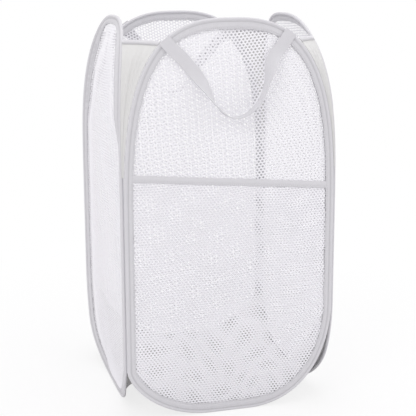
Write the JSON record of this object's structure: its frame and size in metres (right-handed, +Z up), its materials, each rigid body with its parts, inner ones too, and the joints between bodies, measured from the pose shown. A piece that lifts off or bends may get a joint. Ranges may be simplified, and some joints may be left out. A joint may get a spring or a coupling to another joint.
{
  "type": "pop up laundry hamper",
  "caption": "Square pop up laundry hamper: sprung wire hoops bound round mesh panels, sewn at the corners, with cloth gussets, a cloth bottom, a flat front pocket and webbing handles.",
  "frame": {"origin": "middle of the footprint, on the surface that the hamper stands on", "axes": "+Z up, -Y towards the front with the pocket, +X towards the right of someone facing the front"},
  "size_m": [0.356, 0.3942, 0.6401],
  "materials": {
    "wire": "bright spring steel",
    "tape": "woven polyester binding, slightly silky",
    "mesh": "open knitted polyester mesh",
    "cloth": "plain woven polyester, matte",
    "webbing": "woven polyester webbing, matte",
    "thread": "polyester sewing thread"
  },
  "bodies": {
    "front_panel": {"front_binding": "tape", "front_hoop_wire": "wire", "front_ferrule": "wire", "front_mesh": "mesh", "pocket_mesh": "mesh", "pocket_binding": "tape", "front_handle_end_left": "webbing", "front_handle_end_right": "webbing", "corner_seam_front_left": "thread", "corner_seam_front_right": "thread", "gusset_front_left": "cloth", "gusset_hem_front_left": "tape", "gusset_front_right": "cloth", "gusset_hem_front_right": "tape", "bottom_panel": "cloth"},
    "left_panel": {"left_binding": "tape", "left_hoop_wire": "wire", "left_ferrule": "wire", "left_mesh": "mesh", "corner_seam_back_left": "thread", "gusset_back_left": "cloth", "gusset_hem_back_left": "tape"},
    "right_panel": {"right_binding": "tape", "right_hoop_wire": "wire", "right_ferrule": "wire", "right_mesh": "mesh", "corner_seam_back_right": "thread", "gusset_back_right": "cloth", "gusset_hem_back_right": "tape"},
    "back_panel": {"back_binding": "tape", "back_hoop_wire": "wire", "back_ferrule": "wire", "back_mesh": "mesh", "back_handle_end_left": "webbing", "back_handle_end_right": "webbing"},
    "front_handle": {"front_handle": "webbing"},
    "back_handle": {"back_handle": "webbing"}
  },
  "joints": [
    {"name": "front_left_fold", "type": "hinge", "parent": "front_panel", "child": "left_panel", "pos_m": [-0.173, -0.173, 0.24], "axis": [0, 0, 1], "range_deg": [-70, 70], "stiffness_Nm_per_rad": 0.08, "deforming": ["gusset_front_left", "gusset_hem_front_left", "bottom_panel"]},
    {"name": "front_right_fold", "type": "hinge", "parent": "front_panel", "child": "right_panel", "pos_m": [0.173, -0.173, 0.24], "axis": [0, 0, 1], "range_deg": [-70, 70], "deforming": ["gusset_front_right", "gusset_hem_front_right", "gusset_back_right", "gusset_hem_back_right"]},
    {"name": "back_left_fold", "type": "hinge", "parent": "left_panel", "child": "back_panel", "pos_m": [-0.173, 0.173, 0.24], "axis": [0, 0, 1], "range_deg": [-70, 70], "deforming": ["gusset_back_left", "gusset_hem_back_left"]},
    {"name": "front_handle_swing", "type": "hinge", "parent": "front_panel", "child": "front_handle", "pos_m": [0, -0.178, 0.59415], "axis": [-1, 0, 0], "range_deg": [0, 165]},
    {"name": "back_handle_swing", "type": "hinge", "parent": "back_panel", "child": "back_handle", "pos_m": [0, 0.178, 0.59415], "axis": [1, 0, 0], "range_deg": [0, 165]}
  ],
  "couplings": [
    {"joint": "front_right_fold", "follows": "front_left_fold", "ratio": 1},
    {"joint": "back_left_fold", "follows": "front_left_fold", "ratio": -1}
  ]
}
